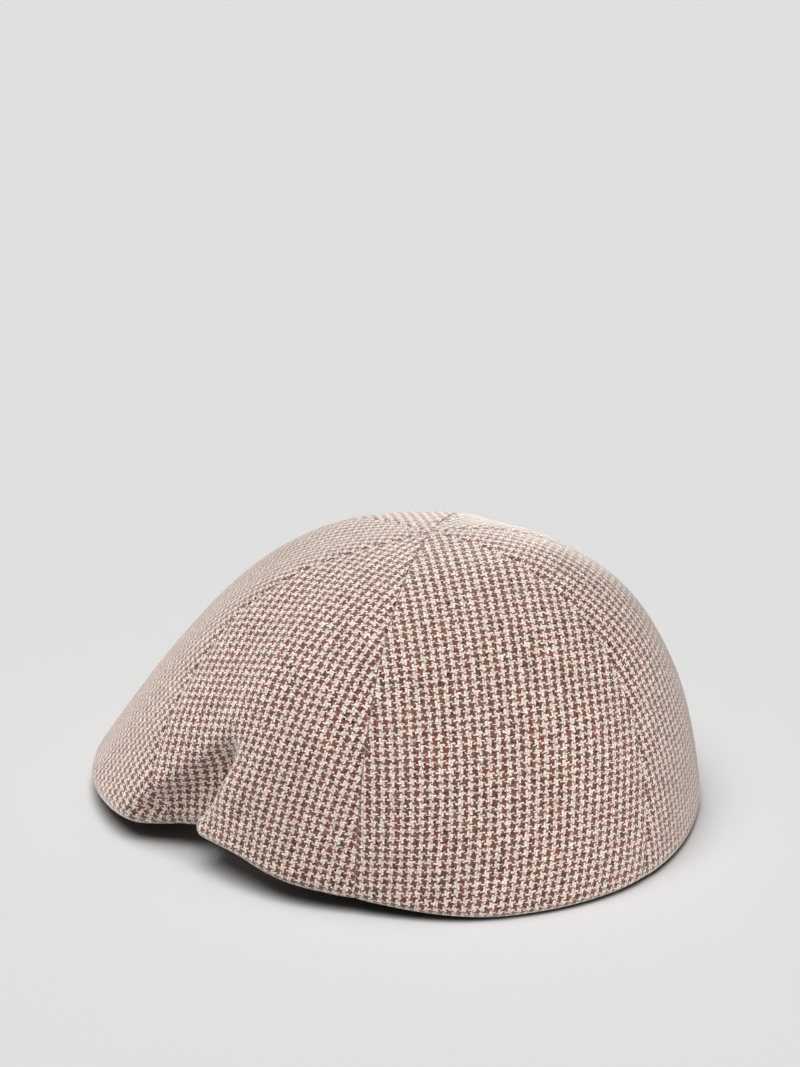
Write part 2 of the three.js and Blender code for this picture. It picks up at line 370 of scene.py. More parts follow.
@dataclass(frozen=True)
class Crown:
    """The crown's outside, as sections that turn from the centre front round to the centre back.

    Each section has its angle in degrees, then in millimetres its reach from the top point to the
    hem, the hem's lift and edge radius, the wall's lean in degrees, the lengths of the wall and
    shoulder handles, the shoulder's rise and the width turned in. A station says how far down a
    section a point is: 0 to 1 down the wall, 1 to 2 round the hem, 2 to 3 inwards under it. The
    outward directions are taken over normal_turn degrees and normal_step of a station, from the
    station normal_top down.
    """

    height: float = 122
    thickness: float = 2
    columns: tuple[str, ...] = ("reach", "lift", "edge", "lean", "wall", "shoulder", "rise", "turn")
    sections: tuple[tuple[float, ...], ...] = (
        (0, 149, 0, 6, 35, 80, 80, -5, 8),
        (18, 143, 3, 6, 32, 80, 80, -5, 8),
        (34, 134, 7.5, 6, 26, 80, 74, -5, 8),
        (48, 121, 12, 5, 21, 77, 67, -5, 8),
        (60, 115, 10, 4, 14, 74, 64, -4, 14),
        (75, 112, 8, 4, 8, 72, 64, -3, 19),
        (90, 109, 5, 4, 7, 70, 64, 0, 20),
        (120, 113, 0, 4, 7, 66, 62, 4, 18),
        (150, 116, 0, 4, 6, 70, 71, 8, 15),
        (180, 115, 0, 4, 5, 77, 83, 10, 14),
    )
    pinch: Pinch = Pinch()
    normal_turn: float = 0.05
    normal_step: float = 0.001
    normal_top: float = 0.01

    def value(self, column: str, angle: Array) -> Array:
        """A section size at any angle, on a smooth curve through the sections.

        Args:
            column: the size's name.
            angle: angles round the cap, in degrees.

        Returns:
            The size at each angle.
        """
        table = np.array(self.sections, float)
        marks = table[:, 0]
        sizes = table[:, 1 + self.columns.index(column)]
        slopes = np.zeros(len(marks))
        slopes[1:-1] = (sizes[2:] - sizes[:-2]) / (marks[2:] - marks[:-2])
        folded = from_front(angle)
        row = np.clip(np.searchsorted(marks, folded, side="right") - 1, 0, len(marks) - 2)
        span = marks[row + 1] - marks[row]
        s = (folded - marks[row]) / span
        return (
            sizes[row] * (2 * s**3 - 3 * s**2 + 1)
            + slopes[row] * span * (s**3 - 2 * s**2 + s)
            + sizes[row + 1] * (3 * s**2 - 2 * s**3)
            + slopes[row + 1] * span * (s**3 - s**2)
        )

    def place(self, angle: Array, out: Array, up: Array) -> Array:
        """Where a point of a section is on the cap.

        Args:
            angle: the section's angle, in degrees.
            out: millimetres out from the top point.
            up: millimetres above the table.

        Returns:
            Points in metres, with x, y and z on a last axis.
        """
        turn = np.radians(angle)
        middle = (self.sections[0][1] - self.sections[-1][1]) / 2
        return np.stack([out * np.sin(turn), middle - out * np.cos(turn), up], axis=-1) * MM

    def point(self, angle: Array, station: Array) -> Array:
        """The outside of the cloth.

        Args:
            angle: angles round the cap, in degrees.
            station: stations down the section.

        Returns:
            Points in metres, in an array with one more axis than angle.
        """
        edge = self.value("edge", angle)
        centre_x = self.value("reach", angle) - edge
        centre_z = np.maximum(0, self.value("lift", angle)) + self.pinch.hem_rise(angle) + edge
        lean = np.radians(self.value("lean", angle))
        wall = self.value("wall", angle)
        foot_x = centre_x + edge * np.cos(lean)
        foot_z = centre_z + edge * np.sin(lean)
        s = np.clip(station, 0, 1)
        weights = ((1 - s) ** 3, 3 * s * (1 - s) ** 2, 3 * s**2 * (1 - s), s**3)
        handles_x = (0, self.value("shoulder", angle), foot_x - wall * np.sin(lean), foot_x)
        handles_z = (
            self.height,
            self.height + self.value("rise", angle),
            foot_z + wall * np.cos(lean),
            foot_z,
        )
        out = sum(w * h for w, h in zip(weights, handles_x))
        up = sum(w * h for w, h in zip(weights, handles_z))
        around = lean - (np.clip(station, 1, 2) - 1) * (lean + math.pi / 2)
        out = np.where(station > 1, centre_x + edge * np.cos(around), out)
        up = np.where(station > 1, centre_z + edge * np.sin(around), up)
        out = out - self.value("turn", angle) * np.maximum(0, station - 2)
        out = out - self.pinch.push(angle, station)
        return self.place(angle, out, up)

    def normal(self, angle: Array, station: Array) -> Array:
        """The outward direction of the cloth, the same from both sides of a seam.

        Args:
            angle: angles round the cap, in degrees.
            station: stations down the section.

        Returns:
            Unit directions, in an array with one more axis than angle.
        """
        turn, step = self.normal_turn, self.normal_step
        station = np.clip(station, self.normal_top, 3 - step)
        across = self.point(angle + turn, station) - self.point(angle - turn, station)
        down = self.point(angle, station + step) - self.point(angle, station - step)
        found = np.cross(down, across)
        return found / np.linalg.norm(found, axis=-1, keepdims=True)


CROWN = Crown()
FRONT_SEAM = Seam(hem=40, bow=-9)
SIDE_SEAM = Seam(hem=90, bow=0)
BACK_SEAM = Seam(hem=155, bow=6)


@dataclass(frozen=True)
class Handwork:
    """The small unevenness that sewing, pressing and wear leave in the cloth, in millimetres.

    seam_round and seam_dip are the width and depth of the cloth's roll into a seam, and
    seam_share the most of a panel's width that it takes. valley_width and valley_dip are those of
    the shallow valley beside it. Both reach their full depth at open_from from the top point, and
    have the share open_least of it there. pucker is the height of the puckers that cross a seam,
    pucker_width their length, pucker_reach how far down they are strong, and pucker_rest their
    share beyond that. Their pitch drifts by pucker_swing, in radians.

    wave is the height of the crown's slow unevenness, and each of waves has its run along x, y
    and z, in radians a metre, and its start. Over the lowest calm_below the slow unevenness dies
    away, and over the lowest seam_calm_below the seams' dips shrink to the share seam_calm.
    """

    seam_round: float = 1.0
    seam_dip: float = 0.9
    seam_share: float = 0.4
    valley_width: float = 3.5
    valley_dip: float = 0.3
    open_from: float = 6
    open_least: float = 0.25
    pucker: float = 0.3
    pucker_pitch: float = 4.2
    pucker_drift: float = 7
    pucker_swing: float = 3
    pucker_width: float = 5
    pucker_reach: float = 34
    pucker_rest: float = 0.18
    wave: float = 0.35
    waves: tuple[tuple[float, ...], ...] = (
        (71, 23, 40, 0.4),
        (-46, 62, 33, 2.1),
        (28, -88, 75, 4.0),
        (-95, -51, 102, 5.2),
        (132, 86, -61, 1.3),
    )
    calm_below: float = 12
    seam_calm_below: float = 3
    seam_calm: float = 0.15

    def slow_wave(self, points: Array) -> Array:
        """The crown's slow unevenness, the same on both sides of a seam.

        Args:
            points: places on the crown, in metres.

        Returns:
            Metres outwards, for each point.
        """
        total = sum(np.sin(points @ np.array(run[:3], float) + run[3]) for run in self.waves)
        clear = np.clip(points[..., 2] / (self.calm_below * MM), 0, 1)
        return self.wave * MM * total / 2 * clear

    def into_seam(self, away: Array, width: Array, down: Array, height: Array) -> Array:
        """How the cloth dips beside a seam.

        Args:
            away: distance from the nearer seam, in metres.
            width: the panel's width there.
            down: distance from the top point.
            height: height above the table.

        Returns:
            Metres outwards, for each point.
        """
        near = np.minimum(self.seam_round * MM, self.seam_share * width + MM / 1000)
        share = np.clip(1 - away / near, 0, 1)
        roll = 1 - np.sqrt(np.maximum(0, 1 - share**2))
        valley = bump(away, self.valley_width * MM)
        opened = np.clip(down / (self.open_from * MM), self.open_least, 1)
        drift = self.pucker_swing * np.sin(down / MM / self.pucker_drift)
        puckers = np.sin(2 * math.pi * down / (self.pucker_pitch * MM) + drift)
        strength = bump(down, self.pucker_reach * MM) + self.pucker_rest
        fold = self.pucker * puckers * strength * bump(away, self.pucker_width * MM) * opened
        dip = MM * (fold - opened * (self.seam_dip * roll + self.valley_dip * valley))
        return dip * np.clip(height / (self.seam_calm_below * MM), self.seam_calm, 1)


# ---- Cloth ----


class NodeSheet:
    """A material's nodes, written from left to right."""

    def __init__(self, name: str) -> None:
        """Starts a material with nothing but its output.

        Args:
            name: the finish's name.
        """
        self.material = bpy.data.materials.new(name)
        self.material.use_nodes = True
        self.tree = self.material.node_tree
        self.tree.nodes.clear()

    def add(self, kind: str, inputs: dict | None = None, **settings: object) -> bpy.types.Node:
        """Adds a node.

        Args:
            kind: the node's type.
            inputs: what each named or numbered input takes, a number, a colour or a socket.
            settings: the node's own properties.

        Returns:
            The new node.
        """
        node = self.tree.nodes.new(kind)
        for key, setting in settings.items():
            setattr(node, key, setting)
        for key, given in (inputs or {}).items():
            if isinstance(given, Socket):
                self.tree.links.new(given, node.inputs[key])
            else:
                node.inputs[key].default_value = given
        return node

    def math(self, operation: str, *terms: object, clamp: bool = False) -> Socket:
        """One step of arithmetic.

        Args:
            operation: the Math node's operation.
            terms: numbers or sockets, in order.
            clamp: whether the result stays between 0 and 1.

        Returns:
            The result's socket.
        """
        node = self.add("ShaderNodeMath", dict(enumerate(terms)), operation=operation, use_clamp=clamp)
        return node.outputs[0]

    def vector(self, operation: str, first: object, second: object) -> Socket:
        """One step of arithmetic with two vectors."""
        node = self.add("ShaderNodeVectorMath", {0: first, 1: second}, operation=operation)
        return node.outputs[0]

    def scaled(self, colour: object, factor: object) -> Socket:
        """A colour or vector, times a number."""
        node = self.add("ShaderNodeVectorMath", {0: colour, 3: factor}, operation="SCALE")
        return node.outputs[0]

    def ramp(
        self, value: object, ends: tuple[float, float], first: float = 0.0, last: float = 1.0
    ) -> Socket:
        """A straight ramp, level before and after it.

        Args:
            value: what it reads.
            ends: where it starts and ends.
            first: its value up to the start.
            last: its value from the end on.

        Returns:
            The result's socket.
        """
        inputs = {0: value, 1: ends[0], 2: ends[1], 3: first, 4: last}
        return self.add("ShaderNodeMapRange", inputs).outputs[0]

    def choose(self, share: object, first: object, second: object) -> Socket:
        """The first number, or the second where share is 1."""
        inputs = {0: share, 2: first, 3: second}
        return self.add("ShaderNodeMix", inputs, data_type="FLOAT").outputs[0]

    def mix(self, share: object, first: object, second: object, blend: str = "MIX") -> Socket:
        """Mixes two colours.

        Args:
            share: how much of the second one shows.
            first: a colour or socket.
            second: a colour or socket.
            blend: how the second one goes over the first.

        Returns:
            The mixed colour's socket.
        """
        inputs = {0: share, 6: first, 7: second}
        return self.add("ShaderNodeMix", inputs, data_type="RGBA", blend_type=blend).outputs[2]

    def noise(self, where: object, scale: float, detail: float = 2, rough: float = 0.5) -> bpy.types.Node:
        """Soft noise.

        Args:
            where: the place's socket.
            scale: how fine it is, per metre.
            detail: how many finer layers it has.
            rough: how strong those layers are.

        Returns:
            The noise node.
        """
        inputs = {"Vector": where, "Scale": scale, "Detail": detail, "Roughness": rough}
        return self.add("ShaderNodeTexNoise", inputs)


@dataclass(frozen=True)
class Uneven:
    """How something in the cloth varies.

    fineness is per metre, layers and rough say how many finer layers it has and how strong they
    are, and ends is the noise that counts as 0 and as 1.
    """

    fineness: float
    layers: float
    rough: float
    ends: tuple[float, float] = (0.0, 1.0)


@dataclass(frozen=True)
class StarCheck:
    """Plain-woven tweed with two dark and two light yarns in turn, both ways.

    warp_pitch and weft_pitch are the spaces from yarn to yarn, in metres. light and dark each
    hold the two tints that the spun yarn runs between, and the ranges say how much it darkens and
    brightens. gap is painted shade, the colour that darkens the cloth between the yarns
    where they shade one another, and gap_shade_fade how quickly it fades up their sides.
    nap is the tint of the fine hairs. relief is the height of the yarns' rounding, and arch the
    share of it that comes from passing over another yarn. wobbles are the unevenness of the
    yarns' lines: its fineness, and its width in metres. At a yarn's edges the one under it shows:
    bare_warp and bare_weft give the roundings between which it does, and its share at the edge.

    A yarn darkens and brightens by its melange, by chance at each crossing and in long streaks,
    and its tint changes in patches of the cloth and with its dye, by the shares that follow them.
    fibre is the fine grain of the fibres and fuzz that of the surface.
    """

    name: str
    warp_pitch: float = 0.96 * MM
    weft_pitch: float = 0.812 * MM
    light: tuple[Colour, Colour] = ((0.95, 0.855, 0.745, 1), (0.98, 0.80, 0.715, 1))
    dark: tuple[Colour, Colour] = ((0.118, 0.072, 0.055, 1), (0.166, 0.049, 0.037, 1))
    light_range: tuple[float, float] = (0.58, 1.14)
    dark_range: tuple[float, float] = (0.0, 2.6)
    # Painted shade: the colour multiplied into the cloth between the yarns, where they shade one another.
    gap: Colour = (0.18, 0.12, 0.09, 1)
    gap_shade_fade: float = 1.18
    nap: Colour = (1.0, 0.92, 0.86, 1)
    relief: float = 0.16 * MM
    arch: float = 0.55
    wobbles: tuple[tuple[float, float], ...] = ((260, 0.0016), (1150, 0.0014))
    bare_warp: tuple[float, float, float] = (0.2, 0.6, 0.5)
    bare_weft: tuple[float, float, float] = (0.38, 0.94, 0.95)
    melange: Uneven = Uneven(900, 3, 0.7, (0.38, 0.62))
    melange_share: float = 0.34
    chance_share: float = 0.44
    streak: Uneven = Uneven(110, 1, 0.7, (0.36, 0.64))
    streak_share: float = 0.22
    patch: Uneven = Uneven(190, 3, 0.6, (0.34, 0.60))
    patch_share: float = 0.6
    dye: Uneven = Uneven(330, 2, 0.7, (0.36, 0.64))
    dye_share: float = 0.4
    fibre: Uneven = Uneven(2300, 2, 0.7, (0.3, 0.7))
    fibre_range: tuple[float, float] = (0.72, 1.24)
    fuzz: Uneven = Uneven(4200, 2, 0.6)
    fuzz_share: float = 0.5

    def build(self) -> Finish:
        """Makes the cloth's material, which reads the piece's own weave map in metres."""
        return WeaveSheet(self).dressed()


class WeaveSheet(NodeSheet):
    """The nodes of a star check.

    flat is a place on the flat cloth. across and along are the same place as the yarns' lines
    wobble, in metres, and warp and weft the numbers of the yarns there. weft_over is 1 where the
    weft lies on top. warp_round and weft_round are the yarns' round tops, 0 at their edges and 1
    in their middle.

    REPEAT is how many yarns the order has, and the ones numbered below LAST_DARK in it are dark.
    The last three numbers keep the yarns, both ways, and their dye from varying alike.
    """

    REPEAT: ClassVar[float] = 4.0
    LAST_DARK: ClassVar[float] = 1.5
    WEFT_NUMBERS: ClassVar[float] = 517.0
    DYE_NUMBERS: ClassVar[float] = 40.0
    YARNS_APART: ClassVar[float] = 7.31

    def __init__(self, check: StarCheck) -> None:
        """Finds the yarns at each place of the cloth.

        Args:
            check: the cloth.
        """
        super().__init__(check.name)
        self.check = check
        self.flat = self.add("ShaderNodeUVMap", uv_map=WEAVE_UV).outputs[0]
        moved = self.flat
        for fineness, width in check.wobbles:
            drift = self.noise(self.flat, fineness, 1).outputs["Color"]
            drift = self.vector("SUBTRACT", drift, (0.5, 0.5, 0.5))
            moved = self.vector("ADD", moved, self.scaled(drift, width))
        split = self.add("ShaderNodeSeparateXYZ", {0: moved})
        self.across = split.outputs[0]
        self.along = split.outputs[1]
        across = self.math("DIVIDE", self.across, check.warp_pitch)
        along = self.math("DIVIDE", self.along, check.weft_pitch)
        self.warp = self.math("FLOOR", across)
        self.weft = self.math("FLOOR", along)
        self.weft_over = self.math("FLOORED_MODULO", self.math("ADD", self.warp, self.weft), 2.0)
        self.warp_round = self.rounding(self.math("FRACT", across))
        self.weft_round = self.rounding(self.math("FRACT", along))

    def rounding(self, place: object) -> Socket:
        """A yarn's round top, 0 at its edges and 1 in its middle."""
        side = self.math("MULTIPLY_ADD", place, 2.0, -1.0)
        return self.math("SQRT", self.math("SUBTRACT", 1.0, self.math("MULTIPLY", side, side), clamp=True))

    def on_top(self, warp: object, weft: object) -> Socket:
        """The warp's value where the warp is on top, and the weft's where the weft is."""
        return self.choose(self.weft_over, warp, weft)

    def height(self) -> Socket:
        """How high the upper yarn stands, round across it and arched over the one below.

        Returns:
            A number from 0 to 1.
        """
        arch = self.on_top(self.weft_round, self.warp_round)
        arch = self.math("MULTIPLY_ADD", arch, self.check.arch, 1 - self.check.arch)
        return self.math("MULTIPLY", self.on_top(self.warp_round, self.weft_round), arch)

    def over_cloth(self, uneven: Uneven, first: float = 0.0, last: float = 1.0) -> Socket:
        """Something that varies over the flat cloth, from first to last."""
        found = self.noise(self.flat, uneven.fineness, uneven.layers, uneven.rough).outputs["Fac"]
        return self.ramp(found, uneven.ends, first, last)

    def along_yarn(self, yarn: object, run: object, uneven: Uneven) -> Socket:
        """Something that varies along each yarn.

        Args:
            yarn: the yarn's number.
            run: the place along the yarn, in metres.
            uneven: how it varies.

        Returns:
            A number from 0 to 1.
        """
        aside = self.math("MULTIPLY", yarn, self.YARNS_APART)
        down = self.math("MULTIPLY", run, float(uneven.fineness))
        where = self.add("ShaderNodeCombineXYZ", {0: aside, 1: down}).outputs[0]
        found = self.noise(where, 1.0, uneven.layers, uneven.rough).outputs["Fac"]
        return self.ramp(found, uneven.ends)

    def dark_here(self) -> Socket:
        """Whether the yarn that shows is a dark one, from the order of the yarns.

        Returns:
            1 for a dark yarn, 0 for a light one, and between them where both show.
        """
        warp_dark, weft_dark = (
            self.math("LESS_THAN", self.math("FLOORED_MODULO", number, self.REPEAT), self.LAST_DARK)
            for number in (self.warp, self.weft)
        )
        over = self.on_top(warp_dark, weft_dark)
        under = self.on_top(weft_dark, warp_dark)
        bare_warp = self.ramp(self.warp_round, self.check.bare_warp[:2], self.check.bare_warp[2], 0.0)
        bare_weft = self.ramp(self.weft_round, self.check.bare_weft[:2], self.check.bare_weft[2], 0.0)
        return self.choose(self.on_top(bare_warp, bare_weft), over, under)

    def colour(self) -> Socket:
        """The colour of the yarn that shows.

        Returns:
            The colour's socket.
        """
        check = self.check
        number = self.on_top(self.warp, self.math("ADD", self.weft, self.WEFT_NUMBERS))
        run = self.on_top(self.along, self.across)
        melange = self.along_yarn(number, run, check.melange)
        streak = self.along_yarn(number, run, check.streak)
        dye = self.along_yarn(self.math("ADD", number, self.DYE_NUMBERS), run, check.dye)
        crossing = self.add("ShaderNodeCombineXYZ", {0: self.warp, 1: self.weft, 2: 0.5}).outputs[0]
        chance = self.add("ShaderNodeTexWhiteNoise", {"Vector": crossing}).outputs["Value"]
        mottle = self.blend((melange, check.melange_share), (chance, check.chance_share))
        mottle = self.math("MULTIPLY_ADD", streak, check.streak_share, mottle)
        patch = self.over_cloth(check.patch)
        tint = self.blend((patch, check.patch_share), (dye, check.dye_share))
        light, dark = (
            self.scaled(self.mix(tint, *tints), self.ramp(mottle, (0.0, 1.0), *strengths))
            for tints, strengths in ((check.light, check.light_range), (check.dark, check.dark_range))
        )
        return self.mix(self.dark_here(), light, dark)

    def blend(self, *parts: tuple[object, float]) -> Socket:
        """The sum of two values, each times its share."""
        return self.math("ADD", *(self.math("MULTIPLY", value, share) for value, share in parts))

    def dressed(self) -> Finish:
        """Adds the cloth's shader.

        Returns:
            The finished material.
        """
        check = self.check
        height = self.height()
        # Painted shade between the yarns: the colour darkens towards their edges and clears over their
        # rounded tops.
        closed = self.math("MULTIPLY", height, check.gap_shade_fade, clamp=True)
        gap_shade_share = self.math("SUBTRACT", 1.0, closed, clamp=True)
        shaded = self.mix(gap_shade_share, self.colour(), check.gap, "MULTIPLY")
        shaded = self.scaled(shaded, self.over_cloth(check.fibre, *check.fibre_range))
        fuzz = self.noise(self.flat, check.fuzz.fineness, check.fuzz.layers, check.fuzz.rough)
        fuzz = self.math("MULTIPLY", fuzz.outputs["Fac"], check.fuzz_share)
        relief = {"Strength": 0.85, "Distance": check.relief, "Height": self.math("ADD", height, fuzz)}
        shader = self.add(
            "ShaderNodeBsdfPrincipled",
            {
                "Base Color": shaded,
                "Roughness": 0.92,
                "Normal": self.add("ShaderNodeBump", relief).outputs[0],
                "Sheen Weight": 1.0,
                "Sheen Roughness": 0.36,
                "Sheen Tint": check.nap,
                "Specular IOR Level": 0.2,
            },
        )
        self.add("ShaderNodeOutputMaterial", {0: shader.outputs[0]})
        return self.material


@dataclass(frozen=True)
class Grain:
    """How sewing and steaming have drawn a panel's yarns off the straight, in degrees.

    warp_turn leans the warp to the right as it climbs, hem_turn adds to that near the hem, over
    hem_reach metres and down to hem_start. weft_turn makes the weft climb to the right, and
    weft_bow, per metre, curves it up on both sides.
    """

    warp_turn: float = 0
    hem_turn: float = 0
    weft_turn: float = 0
    weft_bow: float = 0
    hem_reach: float = 0.045
    hem_start: float = -0.02

    def mirrored(self) -> "Grain":
        """The same pull on the other half of the cap."""
        turns = {name: -getattr(self, name) for name in ("warp_turn", "hem_turn", "weft_turn")}
        return replace(self, **turns)

    def draw(self, flat: Array) -> Array:
        """Moves the pattern as the cloth was drawn.

        Args:
            flat: places on the flat cloth, in metres.

        Returns:
            The place of the weave at each of them.
        """
        u, v = flat[..., 0], flat[..., 1]
        warp_lean, hem_lean, weft_climb = (
            math.tan(math.radians(turn)) for turn in (self.warp_turn, self.hem_turn, self.weft_turn)
        )
        up = np.maximum(v, self.hem_start)
        lean = hem_lean * self.hem_reach * (1 - np.exp(-up / self.hem_reach))
        across = u - warp_lean * v - lean
        along = v - weft_climb * u - self.weft_bow * u**2
        return np.stack([across, along], axis=-1)


# ---- Crown panels ----


@dataclass
class CrownPanel:
    """One panel of the crown, a sheet of cloth sewn to its neighbours and turned in at the hem.

    start and end give the seams' angles at a level, going round from the front by the left.
    columns and rows are how many cells the wall has, across and down, and crowding how far the
    columns gather towards the seams. The panel starts tip millimetres from the top point.

    The wall's length is measured in FINE_STEPS steps. The flat pattern is found on a coarse grid
    of PATTERN_CELLS, across and down, between the stations in PATTERN_SPAN.
    """

    name: str
    start: Callable[[Array], Array]
    end: Callable[[Array], Array]
    columns: int
    neighbours: tuple[str, str]
    grain: Grain = Grain()
    rows: int = 124
    hem_rows: int = 10
    turned_rows: int = 8
    crowding: float = 0.8
    tip: float = 0.6
    smooth_below: float = 50
    crown: Crown = CROWN
    handwork: Handwork = Handwork()

    FINE_STEPS: ClassVar[int] = 400
    PATTERN_CELLS: ClassVar[tuple[int, int]] = (20, 34)
    PATTERN_SPAN: ClassVar[tuple[float, float]] = (0.012, 1.5)

    def angles(self, across: Array, station: Array) -> Array:
        """The angles of a grid of points.

        Args:
            across: places across the panel, 0 at its first seam and 1 at its second.
            station: stations down the section.

        Returns:
            One angle for each place across and each station.
        """
        level = np.minimum(station, 1)[None, :]
        share = across[:, None]
        return self.start(level) * (1 - share) + self.end(level) * share

    def stations(self) -> Array:
        """Spaces the panel's rows evenly along the cloth.

        Returns:
            The station of each row.
        """
        first = self.tip / (3 * self.crown.value("shoulder", self.start(np.array([0.0])))[0])
        fine = np.linspace(first, 1, self.FINE_STEPS)
        middle = self.angles(np.array([0.5]), fine)
        steps = lengths_along(self.crown.point(middle, fine[None, :]), 1)
        length = running_total(steps[0], 0)
        wall = np.interp(np.linspace(0, length[-1], self.rows + 1), length, fine)
        hem = 1 + np.arange(1, self.hem_rows + 1) / self.hem_rows
        turned = 2 + np.arange(1, self.turned_rows + 1) / self.turned_rows
        return np.concatenate([wall, hem, turned])

    def grid(self, across: Array, station: Array) -> tuple[Array, Array]:
        """The plain cloth's outside.

        Args:
            across: places across the panel.
            station: stations down the section.

        Returns:
            Points and outward directions, with an axis across and an axis down.
        """
        angle = self.angles(across, station)
        down = np.broadcast_to(station[None, :], angle.shape)
        return self.crown.point(angle, down), self.crown.normal(angle, down)

    def flat_pattern(self, across: Array, station: Array) -> Array:
        """Lays the panel flat, as it was cut, with its grain along the middle.

        A coarse grid is flattened and made fine again. The cloth beyond it, at the top point and
        under the hem, goes straight on from it.

        Args:
            across: places across the panel.
            station: stations of the rows.

        Returns:
            The place on the flat cloth of each grid point, in metres.
        """
        columns, rows = self.PATTERN_CELLS
        first = int(np.argmax(station >= self.PATTERN_SPAN[0]))
        last = int(np.argmax(station > self.PATTERN_SPAN[1])) - 1
        picks = np.linspace(first, last, rows + 1)
        steps = np.interp(picks, np.arange(len(station)), station)
        points, _ = self.grid(np.linspace(0, 1, columns + 1), steps)
        flat = self._unwrap(points)
        fine = through(flat, across)
        middle = np.arange(first, last + 1)
        fine = np.swapaxes(through(np.swapaxes(fine, 0, 1), (middle - first) / (last - first)), 0, 1)
        lengths = lengths_along(self.grid(across, station)[0], 1)
        up = fine[:, 0] - fine[:, 2]
        up /= np.linalg.norm(up, axis=1, keepdims=True)
        above = np.cumsum(lengths[:, :first][:, ::-1], axis=1)[:, ::-1]
        down = fine[:, -1] - fine[:, -3]
        down /= np.linalg.norm(down, axis=1, keepdims=True)
        below = np.cumsum(lengths[:, last:], axis=1)
        return np.concatenate(
            [
                fine[:, :1] + above[..., None] * up[:, None],
                fine,
                fine[:, -1:] + below[..., None] * down[:, None],
            ],
            axis=1,
        )

    def _unwrap(self, points: Array) -> Array:
        """Flattens a grid of points with as little stretch as it can.

        Args:
            points: the grid's places, with an axis across and an axis down.

        Returns:
            Each point's place on the flat, with the hem's middle at 0, 0 and the middle line upright.
        """
        columns, rows = points.shape[0] - 1, points.shape[1] - 1
        form, order = new_grid(columns, rows)
        place_vertices(form.data, points.reshape(-1, 3)[order])
        bpy.ops.object.mode_set(mode="EDIT")
        bpy.ops.mesh.select_all(action="SELECT")
        bpy.ops.uv.unwrap(method="MINIMUM_STRETCH", fill_holes=False, iterations=30, margin=0)
        bpy.ops.object.mode_set(mode="OBJECT")
        loops = np.empty(len(form.data.loops) * 2)
        form.data.uv_layers.active.data.foreach_get("uv", loops)
        corners = np.empty(len(form.data.loops), int)
        form.data.loops.foreach_get("vertex_index", corners)
        laid = np.empty((len(form.data.vertices), 2))
        laid[corners] = loops.reshape(-1, 2)
        flat = np.empty_like(laid)
        flat[order] = laid
        flat = flat.reshape(columns + 1, rows + 1, 2)
        bpy.data.meshes.remove(form.data)
        flat = (flat - flat[columns // 2, -1]) * line_length(points) / line_length(flat)
        grain = flat[columns // 2, rows // 3]
        turn = math.atan2(grain[0], grain[1])
        spin = np.array([[math.cos(turn), -math.sin(turn)], [math.sin(turn), math.cos(turn)]])
        flat = flat @ spin.T
        if flat[-1, rows // 2, 0] < flat[0, rows // 2, 0]:
            flat[..., 0] *= -1
        return flat

    def build(self, finish: Finish) -> Piece:
        """Cuts, shapes and dresses the panel.

        Args:
            finish: the cloth's material.

        Returns:
            The finished panel.
        """
        even = np.linspace(0, 1, self.columns + 1)
        across = even - self.crowding * np.sin(2 * math.pi * even) / (2 * math.pi)
        station = self.stations()
        points, out = self.grid(across, station)
        flat = self.flat_pattern(across, station)
        outside, inside = self._shape(points, out)
        piece, order = new_grid(self.columns, len(station) - 1)
        piece.name = f"{self.name}_cloth"
        piece.data.name = piece.name
        place_vertices(piece.data, outside.reshape(-1, 3)[order])
        add_weave_map(piece.data, self.grain.draw(flat).reshape(-1, 2)[order])
        self._add_inside(piece, inside.reshape(-1, 3)[order])
        dress(piece, finish, self.smooth_below)
        self._declare(piece)
        return piece

    def _shape(self, points: Array, out: Array) -> tuple[Array, Array]:
        """Works the small unevenness into the cloth.

        Args:
            points: the plain cloth's outside.
            out: its outward directions.

        Returns:
            The cloth's outside and inside.
        """
        from_start = running_total(lengths_along(points, 0), 0)
        width = from_start[-1:]
        away = np.minimum(from_start, width - from_start)
        down = running_total(lengths_along(points, 1), 1)
        slow = self.handwork.slow_wave(points)
        dip = self.handwork.into_seam(away, width, down, points[..., 2])
        outside = points + out * (slow + dip)[..., None]
        inside = points + out * (slow - self.crown.thickness * MM)[..., None]
        return outside, inside

    def _add_inside(self, piece: Piece, inside: Array) -> None:
        """Gives the sheet its thickness, with the inside face where it belongs.

        Args:
            piece: the panel.
            inside: the inside's place for each vertex of the outside.
        """
        count = len(piece.data.vertices)
        thicken(piece, self.crown.thickness * MM, -1)
        places = coordinates(piece.data)
        places[count:] = inside
        place_vertices(piece.data, places)

    def _declare(self, piece: Piece) -> None:
        """Hangs the piece on the cap's root and hides the imported part that it takes the place of.

        Args:
            piece: the finished panel.
        """
        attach(piece, "root")
        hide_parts(self.name)


# ---- Peak ----


